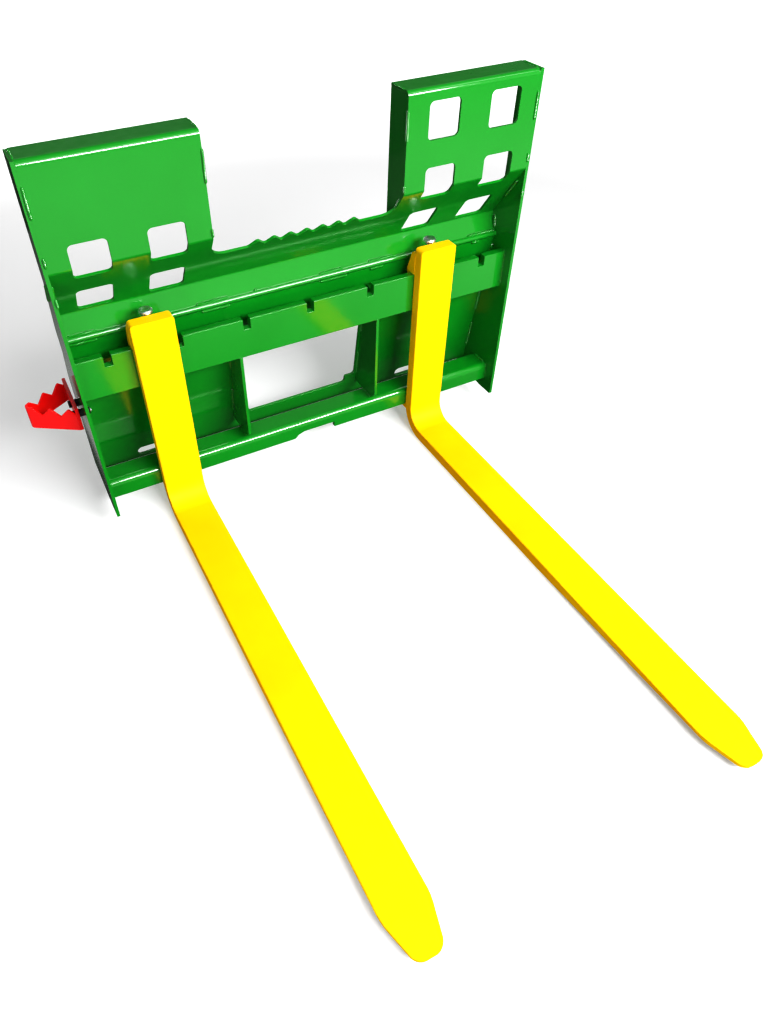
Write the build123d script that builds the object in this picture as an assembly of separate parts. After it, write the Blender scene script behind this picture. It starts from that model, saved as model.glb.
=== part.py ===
from build123d import *
from math import cos, hypot, radians, sin
import os

# Pallet fork attachment for a compact loader.
# +X is to the right seen from the front, +Y is back towards the machine and +Z is up.
# x = 0 is the middle of the frame, y = 0 is the front face of the fork shanks,
# and z = 0 is the ground that the blades lie on. All sizes are in millimetres.

os.makedirs("parts", exist_ok=True)

# Clearances between pieces that slide or are pushed together
slide_gap = 0.3
bore_gap = 0.05
tab_gap = 0.3

# Frame
frame_width = 1160
side_plate = 8
sheet = 6
sheet_bend = 6
tower_top = 920
tower_width = 350
tower_depth = 75
inner_plate = 8

# Guard sheet: a vertical face, an overhang that runs down and back, and a strip to the hook bar
overhang_top = 703
overhang_depth = 103
overhang_drop = 140
gap_edge = 70
gap_corner = 35
tooth_margin = 75
tooth_pitch = 40
tooth_height = 20
tooth_radius = 6
window = 80
window_corner = 11
window_inset = 95
window_column_pitch = 160
window_first_row = 27
window_row_pitch = 139
window_bend_extra = 5
tab_start = 43
tab_length = 57
tab_proud = 4

# Coupler: hook bar, leaning back plate and its foot ledge with two lock slots
hook_nose_y = 82
hook_nose_z = 509
hook_bar = 14
hook_reach = 68
hook_angle = 40
back_plate = 8
back_lean = 9.3
back_bend = 8
ledge_z = 78
ledge_angle = 30
ledge_length = 36
opening_width = 360
opening_top = 385
opening_step_z = 150
opening_foot_width = 300
opening_bottom = 128
opening_corner = 12
opening_step_corner = 10
slot_length = 148
slot_width = 28
slot_spacing = 792
slot_z = 101

# Side plate outline
plate_bottom = 36
plate_flat = 60
plate_rise = 24
plate_corner = 15
plate_tip = 4
plate_waist = 50
waist_round = 30
ear_round = 20
ear_slope_round = 40
ear_gap = 10
hook_cover = 18
ledge_cover = 18

# Fork bar and lower rail: the bar's top edge to the rail's bottom edge is the carriage height
bar_top = 480
bar_height = 100
bar_thickness = 20
carriage_height = 407
notch_pitch = 166.5
notch_margin = 50
notch_width = 18.5
notch_depth = 26
rail_thickness = 12
rail_bend = 3
rail_height = 50
rail_depth = 65
rail_setback = 4
exit_left = 59
exit_right = 62
exit_height = 17
exit_run = 29
exit_knee = 12
exit_knee_height = 11
gusset = 8
gusset_centre = 190
gusset_above = 28

# Forks
fork_width = 100
fork_thickness = 30
fork_length = 1220
shank_above_bar = 73
shank_corner = 8
heel_inside = 50
taper_start = 600
tip_thickness = 8
tip_width = 54
tip_curve_start = 85
tip_side_radius = 150
tip_end_radius = 24
edge_round = 2.5
left_fork_x = -392
right_fork_x = 341.5

# Hooks on the shanks
hook_rise = 57
hook_flat = 14
hook_lip = 15
hook_lip_drop = 10
hook_shoulder = 5
lower_pad_rise = 30
lower_hook_depth = 15
lower_lip = 12
lower_lip_rise = 15

# Lock pins
pin_radius = 7
pin_head_gap = 0.6
pin_below_shank = 6
pin_head_radius = 16
pin_cone = 6
pin_head_rim = 5
pin_head_dome = 2.5

# Side step
tread_front = 80
tread_back = 222
tread_reach = 115
tread_apex = 152
tread_sheet = 5
tread_bend = 9
tread_base = 8
tread_bottom = 272
tread_height = 58
tread_base_height = 62
tread_tooth_pitch = 45.5
tread_tooth_depth = 20
tread_tooth_tip = 2
tread_edge = 30
tread_spacer = 9
tread_bolt_z = 307
tread_bolt_first = 101
tread_bolt_spacing = 45
bolt_radius = 5
bolt_hole_gap = 0.5
bolt_head = 6.4
bolt_flats = 17
bolt_beyond = 4
nut_height = 8
washer_radius = 10
washer_thickness = 2

# Places worked out from the sizes above
half_width = frame_width / 2
inner_half = half_width - side_plate
tower_inner = half_width - tower_width
bar_front = fork_thickness + slide_gap
bar_back = bar_front + bar_thickness
bar_bottom = bar_top - bar_height
rail_bottom = bar_top - carriage_height
rail_top = rail_bottom + rail_height
rail_front = fork_thickness + rail_setback + slide_gap
rail_rear = rail_front + rail_depth
shank_height = bar_top + shank_above_bar
heel_outside = heel_inside + fork_thickness
tooth_count = int((2 * (tower_inner - tooth_margin)) // tooth_pitch)
notch_count = 2 * int((inner_half - notch_margin) // notch_pitch) + 1


def along(point, angle, distance):
    """The point a distance away from another, at an angle below the horizontal towards the rear."""
    turn = radians(angle)
    return (point[0] + distance * cos(turn), point[1] - distance * sin(turn))


def direction(start, end):
    """The unit direction from one point of a side view to another."""
    length = hypot(end[0] - start[0], end[1] - start[1])
    return ((end[0] - start[0]) / length, (end[1] - start[1]) / length)


def meet(point, way, other, other_way):
    """The point where two lines of a side view cross."""
    across = way[0] * other_way[1] - way[1] * other_way[0]
    gap = (other[0] - point[0], other[1] - point[1])
    travel = (gap[0] * other_way[1] - gap[1] * other_way[0]) / across
    return (point[0] + travel * way[0], point[1] + travel * way[1])


def moved_left(point, way, distance):
    """A point moved square to a direction, to its left."""
    return (point[0] - distance * way[1], point[1] + distance * way[0])


def rounded_face(points, radii):
    """A flat face inside a closed run of corners, each rounded by its own radius."""
    return make_face(FilletPolyline(*points, radius=radii, close=True))


def sharp_face(points):
    """A flat face inside a closed run of sharp corners."""
    return make_face(Polyline(*points, close=True))


def folded_face(run, thickness, inside, last_line=None):
    """The section of a folded sheet whose seen face follows a run of corners.

    The sheet's thickness lies to the left of the run. Its last edge can lie
    along a line, given as a point and a direction, that it is welded to.
    """
    ways = [direction(a, b) for a, b in zip(run, run[1:])]
    seen = list(run)
    hidden = [moved_left(run[0], ways[0], thickness)]
    seen_radii = [0]
    hidden_radii = [0]
    for corner, before, after in zip(run[1:], ways, ways[1:]):
        first = moved_left(corner, before, thickness)
        second = moved_left(corner, after, thickness)
        hidden.append(meet(first, before, second, after))
        turns_left = before[0] * after[1] - before[1] * after[0] > 0
        seen_radii.append(inside + thickness if turns_left else inside)
        hidden_radii.append(inside if turns_left else inside + thickness)
    hidden.append(moved_left(run[-1], ways[-1], thickness))
    if last_line:
        seen[-1] = meet(seen[-1], ways[-1], *last_line)
        hidden[-1] = meet(hidden[-1], ways[-1], *last_line)
    points = seen + hidden[::-1]
    radii = seen_radii + [0, 0] + hidden_radii[::-1]
    return rounded_face(points, radii)


def across(face, start, end):
    """A solid between two x positions, with the face as its side view."""
    return extrude(Plane.YZ.offset(start) * face, end - start, dir=(1, 0, 0))


def front_to_back(face, start, end):
    """A solid between two y positions, with the face as its front view."""
    return extrude(Plane.XZ.offset(-start) * face, end - start, dir=(0, 1, 0))


# Side view of the coupler's main lines
hook_way = (cos(radians(hook_angle)), -sin(radians(hook_angle)))
back_way = (sin(radians(back_lean)), -cos(radians(back_lean)))
nose = (hook_nose_y, hook_nose_z)
hook_upper = moved_left(nose, hook_way, hook_bar / 2)
hook_lower = moved_left(nose, hook_way, -hook_bar / 2)
hook_tip = along(nose, hook_angle, hook_reach)
plate_head = meet(nose, back_way, hook_lower, hook_way)
plate_foot = meet(nose, back_way, (0, ledge_z), (1, 0))
ledge_end = along(plate_foot, ledge_angle, ledge_length)


def back_plate_front(z):
    """The y of the back plate's front face at a height."""
    return meet(nose, back_way, (0, z), (1, 0))[0]


# Side view of the guard sheet's seen face, and the plane of its overhang.
# On that plane x runs across the frame and y runs up the slope from the bend line.
guard_bend = (0, overhang_top)
guard_foot = (overhang_depth, overhang_top - overhang_drop)
guard_run = [(tower_depth, tower_top), (0, tower_top), guard_bend, guard_foot, hook_upper]
slope_way = direction(guard_bend, guard_foot)
slope_plane = Plane(
    origin=(0, 0, overhang_top),
    x_dir=(1, 0, 0),
    z_dir=(0, slope_way[1], -slope_way[0]),
)
face_run = tower_top - overhang_top


def gap_cutter():
    """What is cut from the sheet between the towers, down to the toothed step edge."""
    half_row = tooth_count * tooth_pitch / 2
    points = [(tower_inner, face_run), (tower_inner, -gap_edge)]
    radii = [0, gap_corner]
    for tooth in range(tooth_count):
        valley = half_row - tooth * tooth_pitch
        points.append((valley, -gap_edge))
        points.append((valley - tooth_pitch / 2, tooth_height - gap_edge))
        radii += [tooth_radius, tooth_radius]
    points += [(-half_row, -gap_edge), (-tower_inner, -gap_edge), (-tower_inner, face_run)]
    radii += [tooth_radius, gap_corner, 0]
    slope_part = extrude(slope_plane * rounded_face(points, radii), 4 * sheet, both=True)
    above = sharp_face(
        [
            (-tower_inner, overhang_top - 2 * sheet),
            (tower_inner, overhang_top - 2 * sheet),
            (tower_inner, tower_top + sheet),
            (-tower_inner, tower_top + sheet),
        ]
    )
    return slope_part + front_to_back(above, -sheet, tower_depth + sheet)


def window_cutter(x, start):
    """What is cut for one window, from a distance below the tower's top along the sheet."""
    crosses = start < face_run < start + window
    end = start + window + (window_bend_extra if crosses else 0)
    left = x - window / 2
    right = x + window / 2
    pieces = []
    if start < face_run:
        low = min(end, face_run + sheet)
        foot = window_corner if end <= face_run else 0
        points = [(left, tower_top - start), (right, tower_top - start)]
        points += [(right, tower_top - low), (left, tower_top - low)]
        face = rounded_face(points, [window_corner, window_corner, foot, foot])
        pieces.append(front_to_back(face, -sheet, 3 * sheet))
    if end > face_run:
        high = max(start, face_run - sheet) - face_run
        head = window_corner if start >= face_run else 0
        points = [(left, -high), (right, -high)]
        points += [(right, face_run - end), (left, face_run - end)]
        face = rounded_face(points, [head, head, window_corner, window_corner])
        pieces.append(extrude(slope_plane * face, 2 * sheet, both=True))
    return pieces


def guard_tab(side, clearance=0):
    """The tab of the overhang that goes through a side plate, or the slot for it."""
    centre_down = -(tab_start + tab_length / 2)
    reach = side_plate + tab_proud
    tab = Box(reach, tab_length + 2 * clearance, sheet + 2 * clearance)
    place = Pos(side * (inner_half + reach / 2), centre_down, -sheet / 2)
    return slope_plane * place * tab


def make_guard_sheet():
    """One folded sheet: two window towers, the overhang with its toothed step, and the strip."""
    section = folded_face(guard_run, sheet, sheet_bend, (hook_upper, hook_way))
    guard = across(section, -inner_half, inner_half) - gap_cutter()
    for side, first_row in ((-1, 1), (1, 0)):
        for column in range(2):
            x = side * (tower_inner + window_inset + column * window_column_pitch)
            for row in range(first_row, 3):
                for cutter in window_cutter(x, window_first_row + row * window_row_pitch):
                    guard -= cutter
    return guard + guard_tab(-1) + guard_tab(1)


def tower_inner_plate(side):
    """The plate that closes a tower on its inner side, from the flange to the overhang."""
    behind_slope = moved_left(guard_bend, slope_way, sheet)
    corner = meet(behind_slope, slope_way, (sheet, 0), (0, 1))
    foot = meet(behind_slope, slope_way, (tower_depth, 0), (0, 1))
    outline = [(sheet, tower_top - sheet), (tower_depth, tower_top - sheet), foot, corner]
    radii = [2 * sheet_bend, 0, 0, 2 * sheet_bend]
    inner = side * tower_inner
    outer = side * (tower_inner + inner_plate)
    return across(rounded_face(outline, radii), min(inner, outer), max(inner, outer))


def make_hook_bar():
    """The coupler's top bar, with a round nose in front and its tail slanting back and down."""
    tail_top = moved_left(hook_tip, hook_way, hook_bar / 2)
    tail_bottom = moved_left(hook_tip, hook_way, -hook_bar / 2)
    bar = sharp_face([hook_upper, tail_top, tail_bottom, hook_lower])
    section = bar + Pos(nose[0], nose[1]) * Circle(hook_bar / 2)
    return across(section, -inner_half, inner_half)


def make_back_plate():
    """The leaning coupler plate with its central opening, foot ledge and two lock slots."""
    section = folded_face([plate_head, plate_foot, ledge_end], back_plate, back_bend)
    behind = moved_left(plate_head, back_way, back_plate)
    wedge = sharp_face([plate_head, meet(behind, back_way, hook_lower, hook_way), behind])
    plate = across(section - wedge, -inner_half, inner_half)
    wide = opening_width / 2
    foot = opening_foot_width / 2
    outline = [(-foot, opening_bottom), (foot, opening_bottom), (foot, opening_step_z)]
    outline += [(wide, opening_step_z), (wide, opening_top), (-wide, opening_top)]
    outline += [(-wide, opening_step_z), (-foot, opening_step_z)]
    step = opening_step_corner
    radii = [step, step, step / 2, step, opening_corner, opening_corner, step, step / 2]
    plate -= front_to_back(rounded_face(outline, radii), 0, ledge_end[0])
    for side in (-1, 1):
        slot_plane = Plane(
            origin=(side * slot_spacing / 2, back_plate_front(slot_z), slot_z),
            x_dir=(1, 0, 0),
            z_dir=(0, -back_way[1], back_way[0]),
        )
        plate -= extrude(slot_plane * SlotOverall(slot_length, slot_width), 2 * back_plate, both=True)
    return plate


def side_plate_outline():
    """The side view of a side plate: a narrow tower above, ears for the hook and the ledge below."""
    hook_rear = hook_tip[0] + hook_cover
    ledge_rear = max(ledge_end[0] + back_plate, tread_back - tread_edge) + ledge_cover
    points = [
        (0, plate_bottom),
        (plate_flat, plate_bottom),
        (ledge_rear, plate_bottom + plate_rise),
        (ledge_rear, tread_bottom + tread_base_height + ear_gap),
        (hook_rear, hook_tip[1] - hook_cover),
        (hook_rear, hook_nose_z),
        (guard_foot[0] + 2 * sheet, guard_foot[1] + 3 * sheet),
        (tower_depth, overhang_top - plate_waist),
        (tower_depth, tower_top),
        (0, tower_top),
    ]
    radii = [plate_tip, 0, plate_corner, ear_slope_round, ear_round]
    radii += [ear_round, waist_round, waist_round, plate_tip, 0]
    return rounded_face(points, radii)


def make_side_plate(side):
    """One side plate, with the slot for the guard's tab and, on the left, the step's bolt holes."""
    inner = side * inner_half
    outer = side * half_width
    plate = across(side_plate_outline(), min(inner, outer), max(inner, outer))
    plate -= guard_tab(side, tab_gap)
    if side < 0:
        for y in bolt_places():
            plate -= across_cylinder(bolt_radius + bolt_hole_gap, y, -half_width, -inner_half)
    return plate


def make_fork_bar():
    """The flat bar that the forks hang on, with square notches in its top edge."""
    bar = Pos(0, (bar_front + bar_back) / 2, bar_top - bar_height / 2) * Box(
        2 * inner_half, bar_thickness, bar_height
    )
    for place in range(notch_count):
        x = (place - (notch_count - 1) / 2) * notch_pitch
        cutter = Box(notch_width, 2 * bar_thickness, 2 * notch_depth)
        bar -= Pos(x, (bar_front + bar_back) / 2, bar_top) * cutter
    return bar


def make_lower_rail():
    """The folded lower rail, with the exit notch that lets a fork's lower hook pass."""
    run = [(rail_rear, rail_top), (rail_front, rail_top), (rail_front, rail_bottom)]
    rail = across(folded_face(run, rail_thickness, rail_bend), -inner_half, inner_half)
    top = rail_bottom + exit_height
    outline = [
        (-exit_left, rail_bottom - exit_height),
        (-exit_left, rail_bottom),
        (exit_knee - exit_left, rail_bottom + exit_knee_height),
        (exit_run - exit_left, top),
        (exit_right, top),
        (exit_right, rail_bottom - exit_height),
    ]
    radii = [0, 0, 6, 6, 2, 0]
    return rail - front_to_back(rounded_face(outline, radii), 0, rail_rear)


def make_gusset(side):
    """A plate on edge from the rail's flat top up to the bar, and back to the coupler plate."""
    top = bar_top - gusset_above
    foot = rail_front + rail_bend + rail_thickness
    outline = [
        (foot, rail_top),
        (bar_front, rail_top + foot - bar_front),
        (bar_front, bar_bottom),
        (bar_back, bar_bottom),
        (bar_back, top),
        (back_plate_front(top), top),
        (back_plate_front(rail_top), rail_top),
    ]
    x = side * gusset_centre
    return across(sharp_face(outline), x - gusset / 2, x + gusset / 2)


def make_fork(x):
    """One forged fork: an upright shank, a rounded heel and a blade that thins to its tip."""
    tip_bottom = fork_thickness - tip_thickness
    points = [
        (0, fork_thickness),
        (0, shank_height),
        (fork_thickness, shank_height),
        (fork_thickness, 0),
        (-taper_start, 0),
        (-fork_length, tip_bottom),
        (-fork_length, fork_thickness),
    ]
    radii = [heel_inside, 0, 0, heel_outside, 0, 0, 0]
    fork = across(rounded_face(points, radii), -fork_width / 2, fork_width / 2)
    side_edges = fork.faces().sort_by(Axis.X)[0].edges() + fork.faces().sort_by(Axis.X)[-1].edges()
    fork = fillet(side_edges, edge_round)
    fork &= extrude(blade_plan(), shank_height)
    fork &= front_to_back(shank_front_view(), -fork_length, fork_thickness)
    return Pos(x, 0, 0) * fork


def blade_plan():
    """The fork seen from above, with its sides drawn in to a narrow rounded tip."""
    half = fork_width / 2
    knee = tip_curve_start - fork_length
    points = [
        (-half, fork_thickness),
        (-half, knee),
        (-tip_width / 2, -fork_length),
        (tip_width / 2, -fork_length),
        (half, knee),
        (half, fork_thickness),
    ]
    radii = [0, tip_side_radius, tip_end_radius, tip_end_radius, tip_side_radius, 0]
    return rounded_face(points, radii)


def shank_front_view():
    """The fork seen from the front, with rounded top corners."""
    half = fork_width / 2
    points = [(-half, 0), (half, 0), (half, shank_height), (-half, shank_height)]
    return rounded_face(points, [0, 0, shank_corner, shank_corner])


def make_upper_hook(x):
    """The hook on a shank's back that hangs over the fork bar, bored for the lock pin."""
    seat = bar_top + slide_gap
    inside = bar_back + slide_gap
    outside = inside + hook_lip
    outline = [
        (fork_thickness, seat),
        (inside, seat),
        (inside, seat - hook_lip_drop),
        (outside, seat - hook_lip_drop + hook_shoulder),
        (outside, seat + hook_shoulder),
        (fork_thickness + hook_flat, seat + hook_rise),
        (fork_thickness, seat + hook_rise),
    ]
    radii = [0, 0, 3, 6, 4, 5, 0]
    hook = across(rounded_face(outline, radii), x - fork_width / 2, x + fork_width / 2)
    bore = Cylinder(pin_radius + bore_gap, 4 * hook_rise)
    return hook - Pos(x, pin_y(), seat) * bore


def make_lower_hook(x, fork):
    """The hook low on a shank's back: a pad in front of the rail, and a jaw under it with a lip."""
    root = fork_thickness / 2
    pad_back = rail_front - slide_gap
    ceiling = rail_bottom - slide_gap
    floor = ceiling - lower_hook_depth
    lip_front = rail_front + rail_thickness + slide_gap
    lip_top = ceiling + lower_lip_rise
    pad_top = ceiling + lower_pad_rise
    outline = [
        (root, floor),
        (root, pad_top + rail_setback),
        (fork_thickness, pad_top + rail_setback),
        (pad_back, pad_top),
        (pad_back, ceiling),
        (lip_front, ceiling),
        (lip_front, lip_top),
        (lip_front + lower_lip, lip_top),
        (lip_front + lower_lip, floor),
    ]
    radii = [0, 0, 0, 2, 0, 0, 2, 4, 5]
    reach = fork_width / 2 - edge_round
    return across(rounded_face(outline, radii), x - reach, x + reach) - fork


def pin_y():
    """The y of the lock pins: their heads stand just behind the shanks, over the bar's top edge."""
    return fork_thickness + pin_head_gap + pin_head_radius


def make_lock_pin(x):
    """A turned pin in the hook's bore, raised on the bar's top edge, with a coned round head."""
    bottom = bar_top + slide_gap
    head = shank_height - pin_below_shank
    rim = head + pin_cone
    outline = [
        (0, bottom),
        (pin_radius - 1, bottom),
        (pin_radius, bottom + 1),
        (pin_radius, head),
        (pin_radius + 2, head),
        (pin_head_radius, rim),
        (pin_head_radius, rim + pin_head_rim),
        (pin_head_radius - pin_head_dome, rim + pin_head_rim + pin_head_dome),
        (0, rim + pin_head_rim + pin_head_dome),
    ]
    turned = revolve(Plane.XZ * sharp_face(outline), Axis.Z)
    return Pos(x, pin_y(), 0) * turned


def bolt_places():
    """The y of each bolt that holds the step."""
    return (tread_bolt_first, tread_bolt_first + tread_bolt_spacing)


def across_cylinder(radius, y, start, end):
    """A round bar along x between two positions, at the height of the step's bolts."""
    return across(Pos(y, tread_bolt_z) * Circle(radius), start, end)


def across_hexagon(y, start, end):
    """A hexagon bar along x, with flats facing front and back."""
    shape = RegularPolygon(bolt_flats / 2, 6, major_radius=False, rotation=30)
    return across(Pos(y, tread_bolt_z) * shape, start, end)


base_inner = -half_width - tread_spacer
base_outer = base_inner - tread_base


def make_step_tread():
    """The step's serrated strip, folded once at its apex into a V that stands out from the side."""
    apex = (base_outer - tread_reach, tread_apex)
    run = [(base_outer, tread_back), apex, (base_outer, tread_front)]
    plan = folded_face(run, tread_sheet, tread_bend, (run[2], (0, 1)))
    tread = Pos(0, 0, tread_bottom) * extrude(plan, tread_height, dir=(0, 0, 1))
    beyond = Pos(base_outer + tread_reach / 2, tread_apex, tread_bottom + tread_height / 2)
    tread -= beyond * Box(tread_reach, 4 * tread_reach, 2 * tread_height)
    for end in (run[0], run[2]):
        way = direction(end, apex)
        wall = Plane(
            origin=(end[0], end[1], tread_bottom + tread_height),
            x_dir=(way[0], way[1], 0),
            z_dir=(way[1], -way[0], 0),
        )
        tread -= extrude(wall * tooth_valleys(), 2 * tread_sheet, both=True)
    return tread


def tooth_valleys():
    """What is cut between the strip's teeth, from its base end towards the apex."""
    half = tread_tooth_pitch / 2
    above = 2 * tread_tooth_tip
    points = [(-1.25 * half, tread_tooth_tip)]
    for middle in (-0.25 * half, 1.75 * half, 3.75 * half):
        points.append((middle, -tread_tooth_depth))
        points.append((middle + half, tread_tooth_tip))
    return sharp_face(points + [(4.75 * half, above), (-1.25 * half, above)])


def make_step_base():
    """The flat plate that the tread is welded to, with two bolt holes."""
    outline = sharp_face(
        [
            (tread_front, tread_bottom),
            (tread_back, tread_bottom),
            (tread_back, tread_bottom + tread_base_height),
            (tread_front, tread_bottom + tread_base_height),
        ]
    )
    base = across(outline, base_outer, base_inner)
    for y in bolt_places():
        base -= across_cylinder(bolt_radius + bolt_hole_gap, y, base_outer, base_inner)
    return base


def step_fasteners():
    """Bolts, spacers, washers and nuts of the step, each kind as one group of separate solids."""
    washer_end = -inner_half + washer_thickness
    nut_end = washer_end + nut_height
    hole = bolt_radius + bolt_hole_gap
    bolts = []
    spacers = []
    washers = []
    nuts = []
    for y in bolt_places():
        shank = across_cylinder(bolt_radius, y, base_outer, nut_end + bolt_beyond)
        bolts.append(across_hexagon(y, base_outer - bolt_head, base_outer) + shank)
        ring = across_cylinder(washer_radius, y, base_inner, -half_width)
        spacers.append(ring - across_cylinder(hole, y, base_inner, -half_width))
        disc = across_cylinder(washer_radius, y, -inner_half, washer_end)
        washers.append(disc - across_cylinder(hole, y, -inner_half, washer_end))
        nut = across_hexagon(y, washer_end, nut_end)
        nuts.append(nut - across_cylinder(bolt_radius + bore_gap, y, washer_end, nut_end))
    return {
        "step_bolts": Compound(children=bolts),
        "step_spacers": Compound(children=spacers),
        "step_washers": Compound(children=washers),
        "step_nuts": Compound(children=nuts),
    }


nodes = {
    "left_side_plate": make_side_plate(-1),
    "right_side_plate": make_side_plate(1),
    "guard_sheet": make_guard_sheet(),
    "left_tower_inner_plate": tower_inner_plate(-1),
    "right_tower_inner_plate": tower_inner_plate(1),
    "coupler_hook_bar": make_hook_bar(),
    "back_plate": make_back_plate(),
    "fork_bar": make_fork_bar(),
    "lower_rail": make_lower_rail(),
    "left_gusset": make_gusset(-1),
    "right_gusset": make_gusset(1),
    "side_step_tread": make_step_tread(),
    "side_step_base": make_step_base(),
}
nodes.update(step_fasteners())
for name, x in (("left", left_fork_x), ("right", right_fork_x)):
    fork = make_fork(x)
    nodes[name + "_fork"] = fork
    nodes[name + "_fork_upper_hook"] = make_upper_hook(x)
    nodes[name + "_fork_lower_hook"] = make_lower_hook(x, fork)
    nodes[name + "_lock_pin"] = make_lock_pin(x)

for name, solid in nodes.items():
    export_step(solid, "parts/" + name + ".step")
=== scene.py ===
import math

import bmesh
import bpy
import numpy as np
from mathutils import Matrix, Vector


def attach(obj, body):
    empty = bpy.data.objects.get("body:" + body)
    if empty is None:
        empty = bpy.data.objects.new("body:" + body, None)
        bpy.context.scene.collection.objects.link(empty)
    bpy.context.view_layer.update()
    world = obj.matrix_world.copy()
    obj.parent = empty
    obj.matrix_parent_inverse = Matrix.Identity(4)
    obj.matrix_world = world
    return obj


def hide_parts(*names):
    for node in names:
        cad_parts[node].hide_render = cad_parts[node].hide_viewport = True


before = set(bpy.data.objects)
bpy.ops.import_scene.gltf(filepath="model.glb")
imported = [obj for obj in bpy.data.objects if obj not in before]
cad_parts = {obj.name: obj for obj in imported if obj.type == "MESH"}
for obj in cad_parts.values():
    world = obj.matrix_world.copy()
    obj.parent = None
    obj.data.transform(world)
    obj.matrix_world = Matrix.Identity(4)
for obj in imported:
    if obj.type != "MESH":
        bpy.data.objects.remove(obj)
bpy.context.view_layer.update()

MM = 0.001

# Camera, from the photograph's own perspective
PHOTO_WIDTH = 768
PHOTO_HEIGHT = 1024
CAMERA_PLACE = (-0.67986, -1.47575, 1.41334)
CAMERA_TURN = math.radians(26.104)
CAMERA_DOWN = math.radians(44.861)
CAMERA_ROLL = math.radians(0.932)
FOCAL_PIXELS = 755.19
VIEW_CENTRE = (335.31, 509.99)
SENSOR = 36.0
FAR_SIGHT = 60.0

FINISH_OF = {
    "green_paint": (
        "left_side_plate",
        "right_side_plate",
        "guard_sheet",
        "left_tower_inner_plate",
        "right_tower_inner_plate",
        "coupler_hook_bar",
        "back_plate",
        "fork_bar",
        "lower_rail",
        "left_gusset",
        "right_gusset",
    ),
    "yellow_paint": (
        "left_fork",
        "right_fork",
        "left_fork_upper_hook",
        "right_fork_upper_hook",
        "left_fork_lower_hook",
        "right_fork_lower_hook",
    ),
    "red_paint": ("side_step_tread", "side_step_base"),
    "black_steel": ("step_bolts", "step_spacers", "step_nuts"),
    "zinc": ("step_washers", "left_lock_pin", "right_lock_pin"),
}
FORK_BODIES = {
    "left_fork_upper_hook": "left_fork_body",
    "left_fork_lower_hook": "left_fork_body",
    "right_fork_upper_hook": "right_fork_body",
    "right_fork_lower_hook": "right_fork_body",
}

# Each sprayed paint: its colour where the film is thick and where it is thin, how rough it is, how much
# clear gloss lies on it and how strongly that bends light, the depth of the spray's ripple in metres, and
# how much light the paint itself mirrors
PAINTS = {
    "green_paint": {
        "name": "green_enamel",
        "colour": (0.003, 0.215, 0.012),
        "shade": (0.001, 0.195, 0.008),
        "roughness": 0.36,
        "gloss": 1.0,
        "gloss_index": 1.7,
        "ripple": 0.000007,
        "mirrored": 0.08,
    },
    "yellow_paint": {
        "name": "yellow_enamel",
        "colour": (1.0, 0.58, 0.0),
        "shade": (1.0, 0.49, 0.0),
        "roughness": 0.45,
        "gloss": 0.0,
        "gloss_index": 1.5,
        "ripple": 0.00003,
        "mirrored": 0.08,
    },
    "red_paint": {
        "name": "red_enamel",
        "colour": (1.0, 0.003, 0.004),
        "shade": (0.88, 0.002, 0.003),
        "roughness": 0.35,
        "gloss": 0.3,
        "gloss_index": 1.5,
        "ripple": 0.00005,
        "mirrored": 0.15,
    },
}
# Patterns in the finishes, as repeats per metre
FILM_CLOUDS = 5
BLOOM_CLOUDS = 40
SPRAY_RIPPLE = 260
OXIDE_MOTTLE = 300
OXIDE_SHEEN = 500
OXIDE_GRAIN = 900
ZINC_CLOUDS = 220
TURNING_LINES = 60
FLOOR_CLOUDS = 1.5
# A bloom's spread of roughness, and the clear gloss's own roughness
BLOOM = 0.12
GLOSS_ROUGHNESS = 0.10
# Blackened steel and zinc plate: their two tones, how rough they are, and their relief in metres
OXIDE_TONES = ((0.012, 0.012, 0.013), (0.035, 0.034, 0.033))
OXIDE_ROUGHNESS = (0.25, 0.45)
OXIDE_RELIEF = 0.00005
OXIDE_METAL = 0.6
ZINC_TONES = ((0.86, 0.88, 0.90), (0.66, 0.68, 0.71))
ZINC_ROUGHNESS = (0.24, 0.42)
ZINC_RELIEF = 0.00003
TURNING_STRETCH = (1, 1, 40)
FLOOR_TONES = ((0.80, 0.80, 0.80), (0.79, 0.79, 0.795))
BACKDROP_TONE = (0.8, 0.8, 0.8, 1)
WHITE = (1, 1, 1, 1)
BLACK = (0, 0, 0, 1)

# Sizes that the part is built from, in millimetres and degrees
TOWER_TOP = 920.0
SHEET = 6.0
OVERHANG_TOP = 703.0
OVERHANG_DEPTH = 103.0
OVERHANG_DROP = 140.0
TAB_START = 43.0
TAB_LENGTH = 57.0
NOSE = (82.0, 509.0)
NOSE_ROUND = 7.0
BACK_LEAN = 9.3
BOLT_FIRST = 101.0
BOLT_SPACING = 45.0
BOLT_Z = 307.0
BOLT_RADIUS = 5.0
BOLT_FLATS = 17.0
BOLT_BEYOND = 4.0
THREAD_PITCH = 1.5
WASHER = 2.0
NUT = 8.0

# A weld bead: how long its ripples and its straying are, in millimetres, and the rest as shares of its size
RIPPLE = 3.0
RIPPLE_HEIGHT = 0.13
RIPPLE_BEND = 1.6
END_RUN = 1.6
END_LEAST = 0.02
STRAY = 0.06
STRAY_RUN = 11.0
BEAD_SIDES = 12
RIPPLE_RINGS = 4
LEAST_RINGS = 12
NEARLY_UPRIGHT = 0.9
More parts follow.
